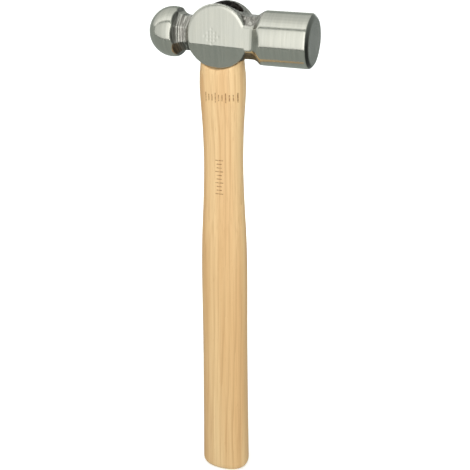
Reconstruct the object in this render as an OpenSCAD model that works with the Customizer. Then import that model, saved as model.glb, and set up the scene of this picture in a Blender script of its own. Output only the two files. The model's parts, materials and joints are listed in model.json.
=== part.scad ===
// Ball peen hammer: a forged steel head wedged on a hickory handle.
// +Z runs up the handle, +X points to the striking face, and the origin is the middle of the butt face.

/* [Head] */
// Diameter of the poll, the cylinder behind the striking face
poll_d = 36; // [33:0.5:38]
// Distance from the handle's axis to the striking face
face_x = 64.6; // [58:0.2:72]
// Diameter of the flat striking face, inside its chamfer
face_d = 30.6; // [28:0.2:32]
// Length of the chamfer round the striking face
rim_len = 1.9; // [0.8:0.1:2.5]
// Diameter of the ball
ball_d = 34; // [32:0.5:36]
// Distance from the handle's axis to the middle of the ball
ball_x = 35.7; // [35:0.1:38]
// Diameter of the round body that holds the eye
cheek_d = 43.2; // [41:0.2:44]
// Width of the head across its flat cheeks
cheek_w = 25; // [24.6:0.1:26]
// Width of the shallow bevel round each cheek
cheek_bevel = 2; // [1:0.1:2.2]
// Angle at which the lower part of each cheek leans inward
cheek_lean = 12; // [6:1:12]
// Height where the lean starts, above the middle of the cheek
lean_top_z = -5.1; // [-6.6:0.1:-3]
// Angle by which the poll hangs below square to the handle
head_tilt = 1.1; // [0:0.1:3]

/* [Necks] */
// Height of the poll's neck across its top and bottom flats
poll_neck_h = 28; // [27:0.2:29]
// Width of the poll's neck across its diagonal flats
poll_neck_diag = 28; // [27:0.2:29]
// Width of the ball's neck across its side flats
ball_neck_w = 21.6; // [20:0.2:22.4]
// Height of the ball's neck across its top and bottom flats
ball_neck_h = 23; // [22:0.2:23.6]
// Width of the ball's neck across its diagonal flats
ball_neck_diag = 22.4; // [21.6:0.2:23]

/* [Eye] */
// Length of the eye at its waist, along the head
eye_l = 25.5; // [23:0.5:26]
// Width of the eye at its waist, across the head
eye_w = 15; // [14:0.2:15.6]
// How much wider the eye is at its top than at its waist
eye_flare = 4; // [3:0.1:4.2]

/* [Handle] */
// Height of the middle of the cheeks above the butt
head_z = 350; // [330:1:400]
// Width of the handle at the butt
butt_w = 37.8; // [35:0.2:40]
// Width of the handle along the grip
grip_w = 34.8; // [32:0.2:36]
// Width of the handle at its slim waist
waist_w = 28.7; // [27:0.1:31]
// Width of the handle at the shoulder, just under the head
shoulder_w = 32.7; // [31:0.1:32.8]
// Thickness of the handle as a share of its width
thickness_ratio = 0.75; // [0.7:0.01:0.75]
// Radius of the rounding round the butt
butt_round = 4; // [2:0.5:6]

/* [Wedges] */
// Thickness of the wooden wedge at its top
wood_wedge_t = 3; // [2:0.1:4]
// Depth of the saw cut that the wooden wedge fills
wood_wedge_depth = 26; // [20:1:28]
// Thickness of the steel wedge at its top
steel_wedge_t = 2.4; // [1.5:0.1:3]
// Width of the steel wedge, across the eye
steel_wedge_w = 12; // [8:0.5:13]
// Depth to which the steel wedge is driven
steel_wedge_depth = 15; // [10:1:18]

/* [Hidden] */

$fn = 96;
STEEL = [0.72, 0.73, 0.69];
DARK_STEEL = [0.45, 0.46, 0.45];
HICKORY = [0.90, 0.76, 0.57];
WEDGE_WOOD = [0.80, 0.62, 0.42];

poll_r = poll_d / 2;
ball_r = ball_d / 2;
cheek_r = cheek_d / 2;

// Both necks have eight flats, and each flat opens out along a fillet and a straight flank:
// fillet radius, flank angle, and the point that the middle of each flank runs through.
// Behind the poll, the side flats open out a little later than the other six.
POLL_SIDE_COVE = [5, 38, face_x - 32.6, poll_r];
POLL_COVE = [5, 38, face_x - 33.6, poll_r];
BALL_COVE = [8.5, 60, ball_x - 4, ball_r - 0.5];
// Fillets between the round cheek body and the necks, seen from the side
poll_throat_r = 10;
ball_throat_r = 4;
// The diagonal flats open out again towards the cheek body: start, fillet radius and angle.
POLL_SHOULDER = [18.6, 5, 55];
BALL_SHOULDER = [20.2, 2, 60];
// The line where the lean starts drops towards the poll by this angle. The lean reaches this far along X.
lean_slant = 1.4;
lean_reach = 20;
neck_core_r = 26;
poll_core_x = 23;
ball_core_x = 30;
ball_core_r = 15.7;
reach = 90;

// The eye and the tenon share these stations, measured from the middle of the cheeks.
eye_end_z = 24;
eye_waist_z = -4;
eye_mouth_flare = 0.6;
tenon_top_z = 14.6;
fit_gap = 0.04;
wedge_taper = 0.2;

oval_power = 2.3;
oval_sides = 40;
ring_step = 9;
round_steps = 5;

// Width of the handle at each height, from the butt up to where the head's outline cuts it off
handle_top_z = head_z - 8;
HANDLE_STATIONS = [
    [-10, butt_w + 0.2],
    [0, butt_w],
    [45, grip_w + 1.7],
    [110, grip_w + 0.3],
    [head_z / 2, grip_w],
    [head_z - 147, grip_w - 1.4],
    [head_z - 119, waist_w + 1.8],
    [head_z - 91, waist_w],
    [head_z - 65, waist_w + 0.8],
    [head_z - 33, shoulder_w],
    [head_z - 18, shoulder_w - 2],
    [head_z - 4, shoulder_w - 4.4]
];

// Points of an arc from angle a0 to angle a1
function arc(cx, cy, r, a0, a1, n = 8) =
    [for (i = [0:n]) let (a = a0 + (a1 - a0) * i / n) [cx + r * cos(a), cy + r * sin(a)]];

// Upper outline of a neck's flat at height d, from its fillet out along its flank
function cove(d, shape) =
    let (r = shape[0],
         a = shape[1],
         x0 = shape[2] - (shape[3] - d) / tan(a) - r * tan(a / 2))
    concat(arc(x0, d + r, r, -90, a - 90),
           [[shape[2] + 3 / tan(a), shape[3] + 3], [reach, shape[3] + 3]]);

// Fillet from just under the round cheek body's surface down to a neck's flat at height d
function throat(d, r) =
    let (body_r = cheek_r - 0.1,
         cx = sqrt(pow(body_r + r, 2) - pow(d + r, 2)))
    arc(cx, d + r, r, 180 + atan2(d + r, cx), 270);

// Outline of a diagonal flat at height d where it opens out towards the cheek body
function shoulder(d, shape) =
    let (x = shape[0],
         r = shape[1],
         a = shape[2],
         end = [x - r * sin(a), d + r * (1 - cos(a))])
    concat([[end[0] - (neck_core_r - end[1]) / tan(a), neck_core_r]], arc(x, d + r, r, 270 - a, 270));

// A bar along X whose section's upper and lower outlines are the given points
module bar(points) {
    outline = concat([[0, 0], [0, points[0][1]]], points, [[reach, 0]]);
    rotate([90, 0, 0]) {
        linear_extrude(2 * neck_core_r, center = true) polygon(outline);
        mirror([0, 1, 0]) linear_extrude(2 * neck_core_r, center = true) polygon(outline);
    }
}

// Eight flats of a neck, with half its width, height and diagonal, each opening out along its cove
module eight_flats(w, h, diag, side_cove, other_cove, throat_r, shoulder_shape) {
    intersection() {
        bar(concat(throat(h, throat_r), cove(h, other_cove)));
        rotate([90, 0, 0]) bar(cove(w, side_cove));
        rotate([45, 0, 0]) bar(concat(shoulder(diag, shoulder_shape), cove(diag, other_cove)));
        rotate([-45, 0, 0]) bar(concat(shoulder(diag, shoulder_shape), cove(diag, other_cove)));
    }
}

// The profile (distance along X, radius) turned about the X axis
module turned(profile) {
    rotate([0, 90, 0]) rotate_extrude() polygon([for (p = profile) [p[1], p[0]]]);
}

module poll_end() {
    intersection() {
        turned([[0, 0], [0, neck_core_r], [poll_core_x, neck_core_r], [poll_core_x, poll_r],
                [face_x - rim_len, poll_r], [face_x, face_d / 2], [face_x, 0]]);
        eight_flats(cheek_w / 2, poll_neck_h / 2, poll_neck_diag / 2,
                    POLL_SIDE_COVE, POLL_COVE, poll_throat_r, POLL_SHOULDER);
    }
}

module ball_end() {
    mirror([1, 0, 0]) intersection() {
        union() {
            translate([ball_x, 0, 0]) sphere(r = ball_r);
            turned([[0, 0], [0, neck_core_r], [poll_core_x, neck_core_r], [poll_core_x, ball_core_r],
                    [ball_core_x, ball_core_r], [ball_core_x, 0]]);
        }
        eight_flats(ball_neck_w / 2, ball_neck_h / 2, ball_neck_diag / 2,
                    BALL_COVE, BALL_COVE, ball_throat_r, BALL_SHOULDER);
    }
}

// Round body between the two necks, with flat cheeks and a bevel twice as wide as deep round each
module cheek_body() {
    y = cheek_w / 2;
    flat_r = cheek_r - cheek_bevel;
    edge_y = y - cheek_bevel / 2;
    rotate([90, 0, 0]) rotate_extrude()
        polygon([[0, -y], [flat_r, -y], [cheek_r, -edge_y], [cheek_r, edge_y], [flat_r, y], [0, y]]);
}

// Space beside the lower part of one cheek, which the lean takes away
module lean_cut() {
    y = cheek_w / 2;
    drop = cheek_r + lean_top_z + 2;
    rotate([0, lean_slant, 0]) rotate([90, 0, 90]) linear_extrude(2 * lean_reach, center = true)
        polygon([[y + 1, lean_top_z + 1 / tan(cheek_lean)], [y + 1, lean_top_z - drop],
                 [y - drop * tan(cheek_lean), lean_top_z - drop]]);
}

module head_blank() {
    difference() {
        union() {
            cheek_body();
            poll_end();
            ball_end();
        }
        lean_cut();
        mirror([0, 1, 0]) lean_cut();
    }
}

// Turns and lifts the head's own frame on to the handle
module on_handle() {
    translate([0, 0, head_z]) rotate([0, head_tilt, 0]) children();
}

// One ring of an oval of width w and thickness t at height z
function oval(w, t, z) =
    [for (i = [0:oval_sides - 1])
        let (a = 360 * i / oval_sides,
             r = pow(pow(abs(cos(a)), oval_power) + pow(abs(sin(a)), oval_power), -1 / oval_power))
        [w / 2 * r * cos(a), t / 2 * r * sin(a), z]];

// Closed solid through a list of rings
module loft(rings) {
    n = oval_sides;
    last = len(rings) - 1;
    sides = [for (k = [0:last - 1], i = [0:n - 1])
                 let (a = k * n + i,
                      b = k * n + (i + 1) % n)
                 each [[a, a + n, b], [b, a + n, b + n]]];
    caps = [[for (i = [0:n - 1]) i], [for (i = [n - 1:-1:0]) last * n + i]];
    polyhedron(points = [for (ring = rings) each ring], faces = concat(sides, caps));
}

// Eye's length and width at height z, less the given gap
function eye_size(z, gap) =
    let (up = max(0, z - eye_waist_z) / (eye_end_z - eye_waist_z),
         down = max(0, eye_waist_z - z) / (eye_waist_z + eye_end_z),
         wider = eye_flare * up + eye_mouth_flare * down - 2 * gap)
    [eye_l + wider, eye_w + wider];

// Plug with the eye's shape from z0 to z1
module eye_plug(z0, z1, gap) {
    loft([for (z = [z0, eye_waist_z, z1]) let (s = eye_size(z, gap)) oval(s[0], s[1], z)]);
}

// Smooth curve through four neighbouring stations
function blend(p, t) =
    0.5 * (2 * p[1] + (p[2] - p[0]) * t + (2 * p[0] - 5 * p[1] + 4 * p[2] - p[3]) * t * t
           + (3 * p[1] - p[0] - 3 * p[2] + p[3]) * t * t * t);

function station_below(z) = max([for (i = [1:len(HANDLE_STATIONS) - 3]) if (HANDLE_STATIONS[i][0] <= z) i]);

function handle_width(z) =
    let (i = station_below(z),
         z0 = HANDLE_STATIONS[i][0],
         z1 = HANDLE_STATIONS[i + 1][0])
    blend([for (k = [-1:2]) HANDLE_STATIONS[i + k][1]], (z - z0) / (z1 - z0));

// Handle from its rounded butt to a top inside the head's outline
module handle_blank() {
    round_rings = [for (k = [0:round_steps])
                       let (a = 90 * k / round_steps,
                            z = butt_round * (1 - cos(a)),
                            inset = 2 * butt_round * (1 - sin(a)))
                       oval(handle_width(z) - inset, handle_width(z) * thickness_ratio - inset, z)];
    steps = floor((handle_top_z - butt_round) / ring_step);
    upper_rings = [for (k = [1:steps])
                       let (z = butt_round + (handle_top_z - butt_round) * k / steps)
                       oval(handle_width(z), handle_width(z) * thickness_ratio, z)];
    loft(concat(round_rings, upper_rings));
}

// Wedge that points down from the tenon's top, thick along Y at the top and long along X
module wedge_blank(t, w, depth) {
    half = t / 2;
    tip = half * wedge_taper;
    tip_z = tenon_top_z - depth;
    rotate([90, 0, 90]) linear_extrude(w, center = true)
        polygon([[-half, tenon_top_z], [half, tenon_top_z], [tip, tip_z], [-tip, tip_z]]);
}

module steel_wedge_blank() {
    rotate([0, 0, 90]) wedge_blank(steel_wedge_t, steel_wedge_w, steel_wedge_depth);
}

module tenon() {
    difference() {
        eye_plug(-eye_end_z, tenon_top_z, fit_gap);
        wedge_blank(wood_wedge_t, cheek_d, wood_wedge_depth);
        steel_wedge_blank();
    }
}

module head() {
    color(STEEL) on_handle() difference() {
        head_blank();
        eye_plug(-eye_end_z, eye_end_z, 0);
    }
}

module handle() {
    color(HICKORY) {
        difference() {
            handle_blank();
            on_handle() {
                head_blank();
                rotate([90, 0, 0]) cylinder(r = cheek_r, h = 2 * cheek_w, center = true);
            }
        }
        on_handle() tenon();
    }
}

module wood_wedge() {
    color(WEDGE_WOOD) on_handle() difference() {
        intersection() {
            wedge_blank(wood_wedge_t, cheek_d, wood_wedge_depth);
            eye_plug(-eye_end_z, tenon_top_z, fit_gap);
        }
        steel_wedge_blank();
    }
}

module steel_wedge() {
    color(DARK_STEEL) on_handle() steel_wedge_blank();
}

head();
handle();
wood_wedge();
steel_wedge();
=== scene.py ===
"""Looks of the ball peen hammer: refined meshes, steel and hickory, a pale floor and soft studio light.

Everything is in metres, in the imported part's own frame: +Z up the handle, +X to the striking face.
"""
import json
import math

import bmesh
import bpy
import numpy as np
from mathutils import Matrix, Vector, noise


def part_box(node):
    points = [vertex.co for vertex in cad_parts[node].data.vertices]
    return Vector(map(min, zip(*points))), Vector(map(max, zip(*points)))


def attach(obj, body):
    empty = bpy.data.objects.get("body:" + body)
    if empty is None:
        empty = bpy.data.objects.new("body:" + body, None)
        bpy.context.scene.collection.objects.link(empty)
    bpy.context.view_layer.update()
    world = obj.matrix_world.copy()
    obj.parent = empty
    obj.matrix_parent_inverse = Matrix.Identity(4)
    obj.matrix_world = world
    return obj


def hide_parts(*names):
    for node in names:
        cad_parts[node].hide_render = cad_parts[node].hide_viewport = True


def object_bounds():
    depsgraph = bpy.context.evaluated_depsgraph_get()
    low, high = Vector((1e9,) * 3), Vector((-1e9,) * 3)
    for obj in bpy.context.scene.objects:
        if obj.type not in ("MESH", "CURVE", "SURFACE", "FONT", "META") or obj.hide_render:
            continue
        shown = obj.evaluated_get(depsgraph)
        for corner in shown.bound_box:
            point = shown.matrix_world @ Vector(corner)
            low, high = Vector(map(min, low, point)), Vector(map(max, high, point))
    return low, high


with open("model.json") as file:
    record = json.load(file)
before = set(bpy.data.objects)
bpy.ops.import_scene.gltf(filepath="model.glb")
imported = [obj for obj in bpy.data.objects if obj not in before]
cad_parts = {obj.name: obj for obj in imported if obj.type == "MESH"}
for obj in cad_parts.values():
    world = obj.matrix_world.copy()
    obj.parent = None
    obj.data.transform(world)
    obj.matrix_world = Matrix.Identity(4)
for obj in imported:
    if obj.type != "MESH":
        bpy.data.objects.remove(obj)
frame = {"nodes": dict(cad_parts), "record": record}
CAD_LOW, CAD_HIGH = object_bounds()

MM = 0.001
MOUNTS = {mount["name"]: mount for mount in frame["record"]["mounts"]}


def mount_place(name):
    return Vector(MOUNTS[name]["pos_m"])


# The head's own frame has its origin between the cheeks and +X along the poll.
HEAD_CENTRE = (mount_place("left_cheek") + mount_place("right_cheek")) / 2
HEAD_AXIS = Vector(MOUNTS["striking_face"]["axis"])
HEAD_TILT = math.atan2(-HEAD_AXIS.z, HEAD_AXIS.x)
HEAD_MATRIX = Matrix.Translation(HEAD_CENTRE) @ Matrix.Rotation(HEAD_TILT, 4, "Y")
HEAD_LOW, HEAD_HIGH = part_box("head")

CHEEK_Y = mount_place("left_cheek").y
FACE_X = (mount_place("striking_face") - HEAD_CENTRE).length
POLL_R = HEAD_HIGH.y
RIM_LENGTH = 1.9 * MM
BALL_R = 17 * MM
BALL_X = -(HEAD_CENTRE.x - HEAD_LOW.x - BALL_R)
CHEEK_R = (HEAD_HIGH.z - HEAD_LOW.z) / 2
POLL_NECK_END = 31 * MM
BALL_NECK_END = -31 * MM
LEAN = math.radians(12)
LEAN_TOP_Z = -5.1 * MM
LEAN_SLANT = math.radians(1.4)
LEAN_REACH = 20 * MM
BEVEL_DEPTH = 1 * MM
# The eye: half its length and half its width at the waist, and how fast both grow above it
EYE_HALF_LENGTH = 12.75 * MM
EYE_HALF_WIDTH = 7.5 * MM
EYE_WAIST_Z = -4 * MM
EYE_SLOPE = 2 / 28
# Where the eye's oval counts as left behind, and over how much of it
EYE_REACH = 1.1
EYE_FADE = 0.08

# How near a true surface a point has to be to be laid on it
NEAR_SURFACE = 0.3 * MM
# Depth at which the forged skin starts under a ground surface, and the width of its border
SKIN_START = 0.1 * MM
SKIN_BORDER = 0.5 * MM
# Lumps of the forged skin: size in millimetres, and height
LUMP_SIZE = 1.6
LUMP_HEIGHT = 0.2
# The ball's neck, left of this, has grinding ridges and lower lumps instead
RIDGES_X = -20 * MM
RIDGE_HEIGHT = 0.3
RIDGE_LENGTH = 14
RIDGED_LUMP_HEIGHT = 0.02
# The painted shade in the band beside the ball runs from the first place to the second
BALL_SHADOW_START = -28.5 * MM
BALL_SHADOW_END = -30.5 * MM

# The soft edge between the poll and its chamfer: half its width and its fade
POLL_EDGE_REACH = 1.6 * MM
POLL_EDGE_FADE = 0.8 * MM
# The striking face's border with the chamfer: where it starts, and its width
FACE_START = 0.25 * MM
FACE_FADE = 0.15 * MM

# How far an outward edge stands above its neighbours before its lighter tone, part wear and part painted
# highlight, is full
EDGE_BULGE = 0.12 * MM

# Punched dots on the right cheek: middle, spacing, radius, depth, and steps from the middle.
MARK_CENTRE = (-3 * MM, 0.4 * MM)
MARK_PITCH = 2.4 * MM
MARK_DOT_R = 0.85 * MM
MARK_DEPTH = 0.22 * MM
MARK_STEPS = 2

# Burnt ticks on the handle: a row across it and a column down it. Every third is longer.
BURN_HALF_WIDTH = 0.27 * MM
ROW_START = -9.5 * MM
ROW_PITCH = 2.45 * MM
ROW_COUNT = 10
ROW_Z = 309.5 * MM
ROW_TICK = 6.5 * MM
COLUMN_START = 238.5 * MM
COLUMN_PITCH = 2.75 * MM
COLUMN_COUNT = 10
COLUMN_X = 0.8 * MM
COLUMN_TICK = 5.5 * MM
SHORT_TICK_SHARE = 0.64

# The handle's section is a rounded oval: its thickness over its width, and its roundness.
THICKNESS_RATIO = 0.75
OVAL_POWER = 2.3
BUTT_ROUND = 4 * MM


# ---------------------------------------------------------------- meshes

def points_of(mesh):
    flat = np.empty(len(mesh.vertices) * 3)
    mesh.vertices.foreach_get("co", flat)
    return flat.reshape(-1, 3)


def set_points(mesh, points):
    mesh.vertices.foreach_set("co", np.ascontiguousarray(points, float).ravel())
    mesh.update()


def refined(node, name, voxel, smoothing):
    """A fine, even mesh of a CAD node, with its edges rounded by the smoothing."""
    mesh = frame["nodes"][node].data.copy()
    work = bmesh.new()
    work.from_mesh(mesh)
    bmesh.ops.remove_doubles(work, verts=work.verts, dist=1e-6)
    work.to_mesh(mesh)
    work.free()
    piece = bpy.data.objects.new(name, mesh)
    bpy.context.scene.collection.objects.link(piece)
    remesh = piece.modifiers.new("remesh", "REMESH")
    remesh.mode = "VOXEL"
    remesh.voxel_size = voxel
    smooth = piece.modifiers.new("smooth", "SMOOTH")
    smooth.factor = 0.5
    smooth.iterations = smoothing
    graph = bpy.context.evaluated_depsgraph_get()
    final = bpy.data.meshes.new_from_object(piece.evaluated_get(graph))
    piece.modifiers.clear()
    piece.data = final
    final.name = name
    final.materials.clear()
    final.polygons.foreach_set("use_smooth", [True] * len(final.polygons))
    return piece


def settle(distance, hold=0.03 * MM, release=0.16 * MM):
    """What is left of a small distance from a true surface: nothing when close, all of it when far."""
    return distance * np.clip((np.abs(distance) - hold) / (release - hold), 0, 1)


def to_head(points):
    inverse = np.array(HEAD_MATRIX.inverted())
    return points @ inverse[:3, :3].T + inverse[:3, 3]


def from_head(points):
    matrix = np.array(HEAD_MATRIX)
    return points @ matrix[:3, :3].T + matrix[:3, 3]


def side_of_head(x, z):
    """Distance from the middle plane to the flat cheek, or to its leaning lower part."""
    along = x * math.cos(LEAN_SLANT) - z * math.sin(LEAN_SLANT)
    below = np.maximum(LEAN_TOP_Z - x * math.sin(LEAN_SLANT) - z * math.cos(LEAN_SLANT), 0)
    return CHEEK_Y - np.where(np.abs(along) < LEAN_REACH, below * math.tan(LEAN), 0)


def true_head_surfaces(p):
    """Lays the points of the ground surfaces exactly on their cylinder, sphere and planes."""
    x, y, z = p.T
    radius = np.hypot(y, z)
    on_poll = (x > POLL_NECK_END) & (x < FACE_X - RIM_LENGTH)
    wanted = POLL_R + settle(radius - POLL_R)
    scale = np.where(on_poll, wanted / np.maximum(radius, MM), 1)
    p = np.column_stack([x, y * scale, z * scale])

    from_ball = p - [BALL_X, 0, 0]
    distance = np.linalg.norm(from_ball, axis=1)
    on_ball = p[:, 0] < BALL_NECK_END + MM
    wanted = BALL_R + settle(distance - BALL_R)
    scale = np.where(on_ball, wanted / np.maximum(distance, MM), 1)
    p = from_ball * scale[:, None] + [BALL_X, 0, 0]

    x, y, z = p.T
    side = side_of_head(x, z)
    on_cheek = (np.abs(y) > side - NEAR_SURFACE) & (np.abs(x) < POLL_NECK_END)
    y = np.where(on_cheek, np.sign(y) * (side + settle(np.abs(y) - side)), y)

    radius = np.hypot(x, z)
    on_rim = (np.abs(radius - CHEEK_R) < NEAR_SURFACE) & (np.abs(y) < side)
    wanted = CHEEK_R + settle(radius - CHEEK_R)
    scale = np.where(on_rim, wanted / np.maximum(radius, MM), 1)
    x, z = x * scale, z * scale

    on_face = x > FACE_X - NEAR_SURFACE
    x = np.where(on_face, FACE_X + settle(x - FACE_X), x)
    return np.column_stack([x, y, z])


def forged_share(p):
    """How far each point belongs to the rough forged skin, 0 on ground steel and 1 in the necks."""
    x, y, z = p.T
    beside = np.clip((side_of_head(x, z) - BEVEL_DEPTH - np.abs(y)) / SKIN_BORDER, 0, 1)
    in_poll_neck = np.clip((POLL_R - np.hypot(y, z) - SKIN_START) / SKIN_BORDER, 0, 1)
    from_ball = np.linalg.norm(p - [BALL_X, 0, 0], axis=1)
    in_ball_neck = np.clip((BALL_R - from_ball - SKIN_START) / SKIN_BORDER, 0, 1)
    before_chamfer = x < FACE_X - 2 * RIM_LENGTH
    end = np.where(x > POLL_NECK_END, in_poll_neck, 1)
    end = end * np.where(x < BALL_NECK_END, in_ball_neck, 1)
    ball_side = (x < -CHEEK_R) & (in_ball_neck > 0)
    return np.where(ball_side, in_ball_neck, beside * end) * before_chamfer


def eye_share(p):
    """1 inside the eye, 0 elsewhere."""
    x, y, z = p.T
    wider = EYE_SLOPE * np.maximum(z - EYE_WAIST_Z, 0)
    lengthwise = np.abs(x / (EYE_HALF_LENGTH + wider)) ** OVAL_POWER
    crosswise = np.abs(y / (EYE_HALF_WIDTH + wider)) ** OVAL_POWER
    return np.clip((EYE_REACH - (lengthwise + crosswise)) / EYE_FADE, 0, 1)


def skin_height(p, share):
    """Height of the forged skin: lumps all over, and grinding ridges round the ball's neck."""
    height = np.zeros(len(p))
    for i in np.flatnonzero(share > 0):
        x, y, z = p[i] / MM
        lumps = noise.fractal(Vector((x, y, z)) / LUMP_SIZE, 0.8, 2.1, 4, noise_basis="PERLIN_ORIGINAL")
        across_ridges = Vector((x, y / RIDGE_LENGTH, z / RIDGE_LENGTH))
        ridges = noise.noise(across_ridges, noise_basis="PERLIN_ORIGINAL")
        if x < RIDGES_X / MM:
            height[i] = RIDGE_HEIGHT * ridges + RIDGED_LUMP_HEIGHT * lumps
        else:
            height[i] = LUMP_HEIGHT * lumps
    return height * share * MM


def punch_depth(p):
    """A small diamond of punched dots on the right cheek."""
    x, y, z = p.T
    depth = np.zeros(len(p))
    steps = range(-MARK_STEPS, MARK_STEPS + 1)
    for i in steps:
        for j in steps:
            if abs(i) + abs(j) <= MARK_STEPS:
                from_dot_x = x - MARK_CENTRE[0] - i * MARK_PITCH
                from_dot_z = z - MARK_CENTRE[1] - j * MARK_PITCH
                away = np.hypot(from_dot_x, from_dot_z)
                depth = np.maximum(depth, np.clip(1 - (away / MARK_DOT_R) ** 2, 0, 1))
    return MARK_DEPTH * depth * (y < MM - CHEEK_Y)


def normals_of(mesh):
    flat = np.empty(len(mesh.vertices) * 3)
    mesh.vertex_normals.foreach_get("vector", flat)
    return flat.reshape(-1, 3)


def add_attribute(mesh, name, values):
    attribute = mesh.attributes.new(name, "FLOAT", "POINT")
    attribute.data.foreach_set("value", np.ascontiguousarray(values, np.float32))


def neighbour_mean(mesh, points):
    """The middle of each point's neighbours."""
    ends = np.empty(len(mesh.edges) * 2, np.int64)
    mesh.edges.foreach_get("vertices", ends)
    a, b = ends.reshape(-1, 2).T
    n = len(points)
    count = np.bincount(ends, minlength=n)
    total = [np.bincount(a, line[b], n) + np.bincount(b, line[a], n) for line in points.T]
    return np.column_stack(total) / count[:, None]


def soften(mesh, points, weight, steps):
    """Rounds the mesh further, where weight says."""
    for _ in range(steps):
        points = points + (neighbour_mean(mesh, points) - points) * 0.5 * weight[:, None]
    return points


def sharpness(mesh):
    """From 0 in a groove, through 0.5 on a flat, to 1 on an outward edge."""
    points = points_of(mesh)
    bulge = np.einsum("ij,ij->i", points - neighbour_mean(mesh, points), normals_of(mesh))
    return np.clip(0.5 + bulge / EDGE_BULGE, 0, 1)


def poll_edge_share(p):
    """1 on the edge between the poll's cylinder and the chamfer round its face, 0 a little way off."""
    away = np.hypot(p[:, 0] - (FACE_X - RIM_LENGTH), np.hypot(p[:, 1], p[:, 2]) - POLL_R)
    return np.clip((POLL_EDGE_REACH - away) / POLL_EDGE_FADE, 0, 1)


def build_head():
    piece = refined("head", "hammer_head", 0.5 * MM, 6)
    points = true_head_surfaces(to_head(points_of(piece.data)))
    points = soften(piece.data, points, poll_edge_share(points), 12)
    forged = forged_share(points)
    eye = eye_share(points)
    face = np.clip((points[:, 0] - FACE_X + FACE_START) / FACE_FADE, 0, 1)
    under_poll = POLL_R - np.hypot(points[:, 1], points[:, 2])
    inside_poll = np.clip((under_poll - NEAR_SURFACE) / NEAR_SURFACE, 0, 1)
    chamfer = inside_poll * (points[:, 0] > FACE_X - 1.5 * RIM_LENGTH) * (1 - face)
    set_points(piece.data, from_head(points))
    height = np.minimum(skin_height(points, forged * (1 - eye)), 0) - punch_depth(points)
    set_points(piece.data, points_of(piece.data) + normals_of(piece.data) * height[:, None])
    add_attribute(piece.data, "forged", forged)
    add_attribute(piece.data, "eye", eye)
    add_attribute(piece.data, "face", face)
    add_attribute(piece.data, "chamfer", chamfer)
    add_attribute(piece.data, "edge", sharpness(piece.data))
    return piece


def oval_reach(x, y):
    """Half the width of the handle's oval that passes through a point."""
    power = np.abs(x) ** OVAL_POWER + np.abs(y / THICKNESS_RATIO) ** OVAL_POWER
    return power ** (1 / OVAL_POWER)


def handle_half_width():
    """Heights and half widths of the CAD handle's own rings, from above the butt's rounding to the head."""
    p = points_of(frame["nodes"]["handle"].data)
    p = p[(p[:, 2] > BUTT_ROUND - 1e-6) & (p[:, 2] < HEAD_LOW.z - MM)]
    heights = np.unique(np.round(p[:, 2], 5))
    return heights, np.array([p[np.abs(p[:, 2] - z) < 1e-5, 0].max() for z in heights])


def build_handle():
    piece = refined("handle", "hammer_handle", 0.75 * MM, 8)
    p = points_of(piece.data)
    heights, half_widths = handle_half_width()
    curve = smooth_curve(heights, half_widths)
    shaft = np.clip((p[:, 2] - BUTT_ROUND) / (2 * MM), 0, 1)
    shaft *= np.clip((HEAD_LOW.z - 2 * MM - p[:, 2]) / (2 * MM), 0, 1)
    scale = 1 + shaft * (curve(p[:, 2]) / np.maximum(oval_reach(p[:, 0], p[:, 1]), MM) - 1)
    set_points(piece.data, np.column_stack([p[:, 0] * scale, p[:, 1] * scale, p[:, 2]]))
    return piece


def smooth_curve(xs, ys):
    """A smooth curve through points, as a function: Hermite pieces with central slopes."""
    slopes = np.gradient(ys, xs)

    def value(x):
        i = np.clip(np.searchsorted(xs, x) - 1, 0, len(xs) - 2)
        step = xs[i + 1] - xs[i]
        t = np.clip((x - xs[i]) / step, 0, 1)
        rise = (2 * t**3 - 3 * t**2 + 1) * ys[i] + (3 * t**2 - 2 * t**3) * ys[i + 1]
        return rise + ((t**3 - 2 * t**2 + t) * slopes[i] + (t**3 - t**2) * slopes[i + 1]) * step

    return value


# ---------------------------------------------------------------- materials

def node(tree, kind, values=None, **settings):
    """Adds a shader node. A value that is a socket is linked, any other is set on the input."""
    made = tree.nodes.new("ShaderNode" + kind)
    for key, value in settings.items():
        setattr(made, key, value)
    for key, value in (values or {}).items():
        if isinstance(value, bpy.types.NodeSocket):
            tree.links.new(value, made.inputs[key])
        else:
            made.inputs[key].default_value = value
    return made


def math_node(tree, operation, *values, clamp=False):
    return node(tree, "Math", dict(enumerate(values)), operation=operation, use_clamp=clamp).outputs[0]


def colour_stops(tree, factor, stops):
    """A colour ramp through (position, colour) stops."""
    made = node(tree, "ValToRGB", {"Fac": factor})
    elements = made.color_ramp.elements
    while len(elements) < len(stops):
        elements.new(1)
    for element, (position, colour) in zip(elements, stops):
        element.position = position
        element.color = (*colour, 1)
    return made.outputs["Color"]


def mix_colour(tree, factor, a, b, blend="MIX"):
    made = node(tree, "Mix", data_type="RGBA", blend_type=blend)
    for index, value in ((0, factor), (6, a), (7, b)):
        if isinstance(value, bpy.types.NodeSocket):
            tree.links.new(value, made.inputs[index])
        elif index:
            made.inputs[index].default_value = (*value, 1)
        else:
            made.inputs[index].default_value = value
    return made.outputs[2]


def object_point(tree, scale=(1, 1, 1), place=(0, 0, 0), turn=(0, 0, 0)):
    coordinates = node(tree, "TexCoord").outputs["Object"]
    values = {"Vector": coordinates, "Scale": scale, "Location": place, "Rotation": turn}
    return node(tree, "Mapping", values).outputs["Vector"]


def cloud(tree, point, detail=2, roughness=0.5, distortion=0.0):
    values = {"Vector": point, "Scale": 1, "Detail": detail, "Roughness": roughness, "Distortion": distortion}
    return node(tree, "TexNoise", values).outputs["Fac"]


def new_material(name):
    material = bpy.data.materials.new(name)
    material.use_nodes = True
    tree = material.node_tree
    tree.nodes.clear()
    shader = node(tree, "BsdfPrincipled")
    output = node(tree, "OutputMaterial")
    tree.links.new(shader.outputs[0], output.inputs["Surface"])
    return material, tree, shader


def share(tree, name):
    """A mesh attribute from 0 to 1."""
    return node(tree, "Attribute", attribute_name=name).outputs["Fac"]


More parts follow.
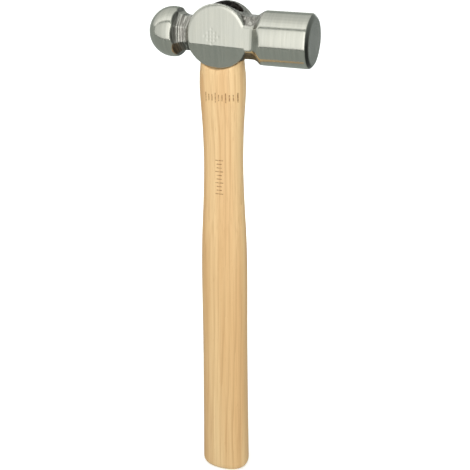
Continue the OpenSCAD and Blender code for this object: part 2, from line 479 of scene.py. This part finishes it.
def fit_range(tree, value, low, high, to_low=0.0, to_high=1.0):
    values = {"Value": value, "From Min": low, "From Max": high, "To Min": to_low, "To Max": to_high}
    return node(tree, "MapRange", values).outputs[0]


def mix_value(tree, factor, a, b):
    made = node(tree, "Mix", data_type="FLOAT")
    for index, value in enumerate((factor, a, b)):
        socket = made.inputs[(0, 2, 3)[index]]
        if isinstance(value, bpy.types.NodeSocket):
            tree.links.new(value, socket)
        else:
            socket.default_value = value
    return made.outputs[0]


def steel_material():
    """Steel ground in fine lines round the head, with a rough forged skin in the necks."""
    material, tree, shader = new_material("ground_steel")
    lines = cloud(tree, object_point(tree, (1700, 30, 30)), 4, 0.65)
    broad_lines = cloud(tree, object_point(tree, (420, 14, 14)), 3, 0.6)
    streaks = cloud(tree, object_point(tree, (1000, 60, 60)), 3, 0.6)
    patches = cloud(tree, object_point(tree, (110, 110, 110)), 3)
    pits = cloud(tree, object_point(tree, (900, 900, 900)), 4, 0.6)
    lumps = cloud(tree, object_point(tree, (380, 380, 380)), 3, 0.6)
    middle = tuple(-c for c in HEAD_CENTRE)
    across_axis = object_point(tree, (0, 1, 1), (0, *middle[1:]))
    from_axis = node(tree, "VectorMath", {0: across_axis}, operation="LENGTH").outputs["Value"]
    ring_values = {"W": from_axis, "Scale": 2200, "Detail": 2}
    rings = node(tree, "TexNoise", ring_values, noise_dimensions="1D").outputs["Fac"]

    ground = colour_stops(tree, lines, [(0.3, (0.52, 0.504, 0.445)), (0.7, (0.61, 0.592, 0.525))])
    ground = mix_colour(tree, fit_range(tree, broad_lines, 0.35, 0.65, 0, 0.7), ground, (0.49, 0.48, 0.43))
    ground = mix_colour(tree, fit_range(tree, patches, 0.35, 0.7, 0, 0.4), ground, (0.52, 0.515, 0.47))
    along = node(tree, "SeparateXYZ", {"Vector": object_point(tree)}).outputs[0]
    beside_ball = fit_range(tree, along, RIDGES_X, RIDGES_X - 2 * MM)
    texture = mix_value(tree, beside_ball, mix_value(tree, 0.4, lumps, pits), streaks)
    skin_stops = [(0.38, (0.15, 0.14, 0.125)), (0.5, (0.36, 0.34, 0.31)), (0.62, (0.62, 0.60, 0.55))]
    forged = colour_stops(tree, texture, skin_stops)
    # Painted shade: a dark band on the forged neck next to the ball
    painted_ball_shadow = fit_range(tree, along, BALL_SHADOW_START, BALL_SHADOW_END, 0, 0.75)
    forged = mix_colour(tree, painted_ball_shadow, forged, (0.05, 0.05, 0.045))
    edge = share(tree, "edge")
    # Outward edges lighter, partly wear and partly painted highlight; grooves of the skin darker, painted
    # shade
    forged = mix_colour(tree, fit_range(tree, edge, 0.55, 0.95, 0, 0.8), forged, (0.72, 0.70, 0.65))
    forged = mix_colour(tree, fit_range(tree, edge, 0.45, 0.1, 0, 0.8), forged, (0.07, 0.065, 0.055))
    # Painted shade: the forged skin darker where it faces down
    facing = node(tree, "SeparateXYZ", {"Vector": node(tree, "NewGeometry").outputs["Normal"]})
    painted_underside_shade = fit_range(tree, facing.outputs[2], -0.2, -0.6, 0, 0.7)
    forged = mix_colour(tree, painted_underside_shade, forged, (0.06, 0.06, 0.05))
    # Painted shade: the striking face darker than the ground steel; its turned rings are real tone
    face = colour_stops(tree, rings, [(0.3, (0.21, 0.206, 0.185)), (0.7, (0.28, 0.275, 0.25))])
    tone = mix_colour(tree, share(tree, "forged"), ground, forged)
    tone = mix_colour(tree, share(tree, "face"), tone, face)
    # Painted reflection of dark surroundings on the chamfer, darkest towards the bottom
    height_up = node(tree, "SeparateXYZ", {"Vector": object_point(tree, place=(0, 0, middle[2]))}).outputs[2]
    painted_reflection_height = fit_range(tree, height_up, -2 * MM, 13 * MM)
    chamfer = mix_colour(tree, painted_reflection_height, (0.05, 0.05, 0.045), (0.26, 0.26, 0.24))
    tone = mix_colour(tree, share(tree, "chamfer"), tone, chamfer)
    # Painted shade: the eye's inner wall near black, as in its recess
    eye_painted_shade = colour_stops(tree, lumps, [(0.45, (0.02, 0.019, 0.018)), (0.7, (0.10, 0.095, 0.09))])
    tone = mix_colour(tree, share(tree, "eye"), tone, eye_painted_shade)
    tree.links.new(tone, shader.inputs["Base Color"])

    rough = fit_range(tree, lines, 0.3, 0.7, 0.14, 0.22)
    rough = mix_value(tree, share(tree, "forged"), rough, fit_range(tree, pits, 0.3, 0.7, 0.34, 0.5))
    rough = mix_value(tree, share(tree, "eye"), rough, 0.6)
    tree.links.new(rough, shader.inputs["Roughness"])
    shader.inputs["Metallic"].default_value = 1
    shader.inputs["Anisotropic"].default_value = 0.5
    shader.inputs["Anisotropic Rotation"].default_value = 0.25
    tangent = node(tree, "Tangent", direction_type="RADIAL", axis="X")
    tree.links.new(tangent.outputs[0], shader.inputs["Tangent"])

    scratches = mix_value(tree, share(tree, "face"), lines, rings)
    height = math_node(tree, "MULTIPLY", scratches, 0.1)
    height = mix_value(tree, share(tree, "forged"), height, math_node(tree, "MULTIPLY", pits, 3))
    bump = node(tree, "Bump", {"Height": height, "Strength": 0.6, "Distance": 0.06 * MM})
    tree.links.new(bump.outputs[0], shader.inputs["Normal"])
    return material


def ticks(tree, along, across, start, pitch, count, middle, length):
    """Mask of a row of burnt ticks: along runs down the row, and across runs along each tick."""
    index = math_node(tree, "DIVIDE", math_node(tree, "SUBTRACT", along, start), pitch)
    whole = math_node(tree, "FLOOR", index)
    in_step = math_node(tree, "SUBTRACT", math_node(tree, "FRACT", index), 0.5)
    off_centre = math_node(tree, "ABSOLUTE", in_step)
    half_stroke = BURN_HALF_WIDTH / pitch
    stroke = fit_range(tree, off_centre, half_stroke, 1.6 * half_stroke, 1, 0)
    third = math_node(tree, "LESS_THAN", math_node(tree, "MODULO", whole, 3), 0.5)
    half = fit_range(tree, third, 0, 1, length * SHORT_TICK_SHARE / 2, length / 2)
    from_middle = math_node(tree, "ABSOLUTE", math_node(tree, "SUBTRACT", across, middle))
    beyond = math_node(tree, "SUBTRACT", from_middle, half)
    inside = fit_range(tree, beyond, 0, 0.3 * MM, 1, 0)
    in_row = math_node(tree, "COMPARE", whole, (count - 1) / 2, count / 2)
    return math_node(tree, "MULTIPLY", math_node(tree, "MULTIPLY", stroke, inside), in_row)


def burn_marks(tree):
    """Two rows of plain ticks burnt into the front of the handle, one across it and one down it."""
    parts = node(tree, "SeparateXYZ", {"Vector": node(tree, "TexCoord").outputs["Object"]})
    x, y, z = parts.outputs
    row = ticks(tree, x, z, ROW_START, ROW_PITCH, ROW_COUNT, ROW_Z, ROW_TICK)
    column = ticks(tree, z, x, COLUMN_START, COLUMN_PITCH, COLUMN_COUNT, COLUMN_X, COLUMN_TICK)
    front = math_node(tree, "LESS_THAN", y, 0)
    wobble = fit_range(tree, cloud(tree, object_point(tree, (900, 900, 900)), 3), 0.35, 0.6, 0.35, 1)
    both = math_node(tree, "MULTIPLY", math_node(tree, "MAXIMUM", row, column), front)
    return math_node(tree, "MULTIPLY", both, wobble)


def wood_tone(tree, pale, warm, dark, pith=(-95 * MM, -30 * MM), ring=4.6 * MM):
    """Straight-grained wood, with rings round a pith line beside the piece: colour, fibres, pores."""
    bend = cloud(tree, object_point(tree, (30, 30, 5)), 2)
    flat = object_point(tree, (1, 1, 0.02), (-pith[0], -pith[1], 0))
    radius = node(tree, "VectorMath", {0: flat}, operation="LENGTH").outputs["Value"]
    bent = math_node(tree, "ADD", radius, math_node(tree, "MULTIPLY", bend, 3.5 * ring))
    ripple = cloud(tree, object_point(tree, (260, 260, 6)), 2)
    bent = math_node(tree, "ADD", bent, math_node(tree, "MULTIPLY", ripple, ring))
    ring_place = math_node(tree, "FRACT", math_node(tree, "DIVIDE", bent, ring))
    late = fit_range(tree, ring_place, 0.55, 0.95)
    fibres = cloud(tree, object_point(tree, (1300, 1300, 14)), 4, 0.6)
    broad = cloud(tree, object_point(tree, (95, 95, 4)), 3)
    pores = cloud(tree, object_point(tree, (2200, 2200, 130)), 1)

    tone = mix_colour(tree, fit_range(tree, broad, 0.35, 0.65), pale, warm)
    uneven = cloud(tree, object_point(tree, (120, 120, 12)), 2)
    line_strength = fit_range(tree, uneven, 0.35, 0.65, 0.12, 0.5)
    tone = mix_colour(tree, math_node(tree, "MULTIPLY", late, line_strength), tone, dark)
    tone = mix_colour(tree, fit_range(tree, fibres, 0.48, 0.72, 0, 0.45), tone, dark)
    tone = mix_colour(tree, fit_range(tree, pores, 0.7, 0.8, 0, 0.5), tone, dark)
    return tone, fibres, pores


def hickory_material():
    """Pale straight-grained wood with a thin satin lacquer, and plain burnt ticks."""
    material, tree, shader = new_material("pale_hickory")
    tone, fibres, _ = wood_tone(tree, (0.91, 0.63, 0.33), (0.80, 0.50, 0.235), (0.58, 0.30, 0.12))
    across = node(tree, "SeparateXYZ", {"Vector": object_point(tree)}).outputs[0]
    # Darker towards the handle's left (-X) side, with a wandering edge
    wander = math_node(tree, "MULTIPLY", cloud(tree, object_point(tree, (40, 40, 9)), 2), 8 * MM)
    left_side_darkening = fit_range(tree, math_node(tree, "ADD", across, wander), -4 * MM, -12 * MM, 0, 0.75)
    tone = mix_colour(tree, left_side_darkening, tone, (0.66, 0.36, 0.14))
    parts = node(tree, "SeparateXYZ", {"Vector": node(tree, "NewGeometry").outputs["Normal"]})
    end = fit_range(tree, math_node(tree, "ABSOLUTE", parts.outputs[2]), 0.75, 0.95)
    tone = mix_colour(tree, math_node(tree, "MULTIPLY", end, 0.55), tone, (0.42, 0.25, 0.12))
    burnt = burn_marks(tree)
    tone = mix_colour(tree, math_node(tree, "MULTIPLY", burnt, 0.9), tone, (0.27, 0.10, 0.025))
    tree.links.new(tone, shader.inputs["Base Color"])
    rough = fit_range(tree, fibres, 0.3, 0.7, 0.42, 0.55)
    tree.links.new(mix_value(tree, burnt, rough, 0.8), shader.inputs["Roughness"])
    shader.inputs["Coat Weight"].default_value = 0.12
    shader.inputs["Coat Roughness"].default_value = 0.35
    height = math_node(tree, "SUBTRACT", math_node(tree, "MULTIPLY", fibres, 0.5), burnt)
    bump = node(tree, "Bump", {"Height": height, "Strength": 0.4, "Distance": 0.08 * MM})
    tree.links.new(bump.outputs[0], shader.inputs["Normal"])
    return material


def wedge_wood_material():
    """Darker wood with open pores."""
    material, tree, shader = new_material("wedge_wood")
    pale, warm, dark = (0.50, 0.31, 0.15), (0.42, 0.24, 0.11), (0.20, 0.10, 0.05)
    tone, _, pores = wood_tone(tree, pale, warm, dark, ring=1.3 * MM)
    tree.links.new(tone, shader.inputs["Base Color"])
    shader.inputs["Roughness"].default_value = 0.7
    bump = node(tree, "Bump", {"Height": pores, "Strength": 0.5, "Distance": 0.1 * MM})
    tree.links.new(bump.outputs[0], shader.inputs["Normal"])
    return material


def wedge_steel_material():
    """Dark mill scale, worn bright in spots on the struck top."""
    material, tree, shader = new_material("wedge_steel")
    scale = cloud(tree, object_point(tree, (700, 700, 700)), 4, 0.65)
    stops = [(0.35, (0.10, 0.095, 0.09)), (0.6, (0.22, 0.21, 0.20)), (0.72, (0.42, 0.41, 0.39))]
    tone = colour_stops(tree, scale, stops)
    tree.links.new(tone, shader.inputs["Base Color"])
    shader.inputs["Metallic"].default_value = 1
    tree.links.new(fit_range(tree, scale, 0.3, 0.7, 0.6, 0.35), shader.inputs["Roughness"])
    bump = node(tree, "Bump", {"Height": scale, "Strength": 0.5, "Distance": 0.1 * MM})
    tree.links.new(bump.outputs[0], shader.inputs["Normal"])
    return material


# ---------------------------------------------------------------- studio

CAMERA_AIM = Vector((8.5, 0, 204.95)) * MM
CAMERA_DISTANCE = 600 * MM
CAMERA_AZIMUTH = math.radians(20.78)
CAMERA_ELEVATION = math.radians(22.29)
CAMERA_ROLL = math.radians(-0.24)
CAMERA_LENS = 62.09
SENSOR = 36


def add_camera():
    back = Vector((
        math.sin(CAMERA_AZIMUTH) * math.cos(CAMERA_ELEVATION),
        -math.cos(CAMERA_AZIMUTH) * math.cos(CAMERA_ELEVATION),
        math.sin(CAMERA_ELEVATION),
    ))
    camera = bpy.data.objects.new("camera", bpy.data.cameras.new("camera"))
    bpy.context.scene.collection.objects.link(camera)
    camera.data.sensor_width = SENSOR
    camera.data.lens = CAMERA_LENS
    camera.data.clip_start = 0.01
    camera.location = CAMERA_AIM + back * CAMERA_DISTANCE
    camera.rotation_mode = "QUATERNION"
    level = (-back).to_track_quat("-Z", "Y").to_matrix()
    camera.rotation_quaternion = (level @ Matrix.Rotation(CAMERA_ROLL, 3, "Z")).to_quaternion()
    bpy.context.scene.camera = camera


# Power of each square metre of an area light whose radiance is 1
WATTS_PER_RADIANCE = math.pi**2 / 4


def add_panel(name, centre, towards, up, width, height, radiance, colour=(1, 1, 1)):
    """A flat soft light that shines along towards. A radiance of 1 looks white."""
    light = bpy.data.lights.new(name, "AREA")
    light.shape = "RECTANGLE"
    light.size = width
    light.size_y = height
    light.energy = radiance * WATTS_PER_RADIANCE * width * height
    light.color = colour
    panel = bpy.data.objects.new(name, light)
    bpy.context.scene.collection.objects.link(panel)
    z = -Vector(towards).normalized()
    y = Vector(up)
    y = (y - z * y.dot(z)).normalized()
    x = y.cross(z)
    panel.matrix_world = Matrix.Translation(centre) @ Matrix((x, y, z)).transposed().to_4x4()
    panel.visible_camera = False
    return panel


# The light tent: a flat wall in front and a roof, each in panels, with a gap between them.
WALL_Y = -0.65
WALL_LOW = 0.02
WALL_HIGH = 1.02
# Right edge of the wall, then each panel's left edge with its radiance
WALL_RIGHT = 0.5
WALL_PANELS = [(0.1, 2.0), (-0.19, 1.38), (-0.31, 1.02), (-0.6, 0.8), (-1.3, 0.7), (-3.0, 0.65)]
ROOF_Z = 0.95
ROOF_LEFT = -3.0
ROOF_RIGHT = 0.4
# Front edge of the roof, then each strip's far edge with its radiance
ROOF_FRONT = -0.42
ROOF_STRIPS = [(-0.3, 1.3), (-0.15, 1.1), (0.0, 0.8), (0.2, 0.58), (0.4, 0.45), (0.6, 0.4)]
SURROUND = (0.39, 0.43, 0.405)
FLOOR_R = 12
# The floor's own glow near the hammer and far off, and the distances between which it grows
GLOW = (0.45, 0.9)
GLOW_REACH = (0.08, 0.5)
# A soft lamp on the right that lights the wood and isn't seen in the steel
FILL_PLACE = (0.75, -0.4, 0.2)
FILL_SIZE = (0.6, 0.9)
FILL_RADIANCE = 1.5
FILL_COLOUR = (1, 0.96, 0.88)
# A black strip under the wall, which only the steel reflects
CARD_LOW = (-3.0, WALL_Y, -0.03)
CARD_HIGH = (WALL_RIGHT, WALL_Y, WALL_LOW)
# The panel behind the hammer, for its far side
BACK_PLACE = (-0.35, 0.9, 0.36)
BACK_SIZE = (1.1, 0.44)
BACK_RADIANCE = 1.3


def add_studio():
    middle = (WALL_LOW + WALL_HIGH) / 2
    right = WALL_RIGHT
    for i, (left, radiance) in enumerate(WALL_PANELS):
        centre = ((left + right) / 2, WALL_Y, middle)
        size = (right - left, WALL_HIGH - WALL_LOW)
        add_panel(f"wall_{i}", centre, (0, 1, 0), (0, 0, 1), *size, radiance)
        right = left
    near = ROOF_FRONT
    for i, (far, radiance) in enumerate(ROOF_STRIPS):
        centre = ((ROOF_LEFT + ROOF_RIGHT) / 2, (near + far) / 2, ROOF_Z)
        size = (ROOF_RIGHT - ROOF_LEFT, far - near)
        add_panel(f"roof_{i}", centre, (0, 0, -1), (0, 1, 0), *size, radiance)
        near = far
    aim = Vector((0, 0, FILL_PLACE[2])) - Vector(FILL_PLACE)
    fill = add_panel("fill", FILL_PLACE, aim, (0, 0, 1), *FILL_SIZE, FILL_RADIANCE, FILL_COLOUR)
    fill.visible_glossy = False
    add_panel("back", BACK_PLACE, (0, -1, 0), (0, 0, 1), *BACK_SIZE, BACK_RADIANCE)

    world = bpy.data.worlds.new("studio")
    world.use_nodes = True
    background = world.node_tree.nodes["Background"]
    background.inputs["Color"].default_value = (*SURROUND, 1)
    background.inputs["Strength"].default_value = 1
    bpy.context.scene.world = world


def add_card():
    """The black strip, hidden from the camera, the diffuse rays and the shadows."""
    low, high = CARD_LOW, CARD_HIGH
    corners = [low, (high[0], high[1], low[2]), high, (low[0], low[1], high[2])]
    mesh = bpy.data.meshes.new("black_card")
    mesh.from_pydata(corners, [], [(0, 1, 2, 3)])
    card = bpy.data.objects.new("black_card", mesh)
    bpy.context.scene.collection.objects.link(card)
    card.visible_camera = False
    card.visible_diffuse = False
    card.visible_shadow = False
    material, _, shader = new_material("black_card")
    shader.inputs["Base Color"].default_value = (0.01, 0.01, 0.01, 1)
    shader.inputs["Roughness"].default_value = 1
    shader.inputs["Specular IOR Level"].default_value = 0
    mesh.materials.append(material)


def add_floor():
    """A pale round floor with a pale wall far behind it on all sides."""
    work = bmesh.new()
    bmesh.ops.create_circle(work, cap_ends=True, segments=96, radius=FLOOR_R)
    rim = bmesh.ops.extrude_edge_only(work, edges=list(work.edges))
    wall_top = [vert for vert in rim["geom"] if isinstance(vert, bmesh.types.BMVert)]
    bmesh.ops.translate(work, verts=wall_top, vec=(0, 0, FLOOR_R))
    mesh = bpy.data.meshes.new("floor")
    work.to_mesh(mesh)
    work.free()
    floor = bpy.data.objects.new("floor", mesh)
    bpy.context.scene.collection.objects.link(floor)
    floor.location.z = CAD_LOW.z
    floor.visible_glossy = False
    floor.visible_diffuse = False
    floor.visible_shadow = False
    material, tree, shader = new_material("pale_floor")
    shader.inputs["Base Color"].default_value = (0.9, 0.9, 0.9, 1)
    shader.inputs["Roughness"].default_value = 0.9
    shader.inputs["Emission Color"].default_value = (1, 1, 1, 1)
    position = node(tree, "TexCoord").outputs["Object"]
    away = node(tree, "VectorMath", {0: position}, operation="LENGTH").outputs["Value"]
    glow = fit_range(tree, away, *GLOW_REACH, *GLOW)
    tree.links.new(glow, shader.inputs["Emission Strength"])
    mesh.materials.append(material)


# ---------------------------------------------------------------- the hammer

def place(piece, cad_node, slot, material):
    """Puts a finished piece in the stead of its CAD node."""
    piece.data.materials.append(material)
    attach(piece, "root")
    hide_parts(cad_node)


add_camera()
add_studio()
add_floor()
add_card()
place(build_head(), "head", "forged_steel", steel_material())
place(build_handle(), "handle", "hickory", hickory_material())
wood_wedge = refined("wood_wedge", "hammer_wood_wedge", 0.3 * MM, 3)
place(wood_wedge, "wood_wedge", "wedge_wood", wedge_wood_material())
steel_wedge = refined("steel_wedge", "hammer_steel_wedge", 0.2 * MM, 3)
place(steel_wedge, "steel_wedge", "wedge_steel", wedge_steel_material())

bpy.context.scene.view_settings.view_transform = "Standard"
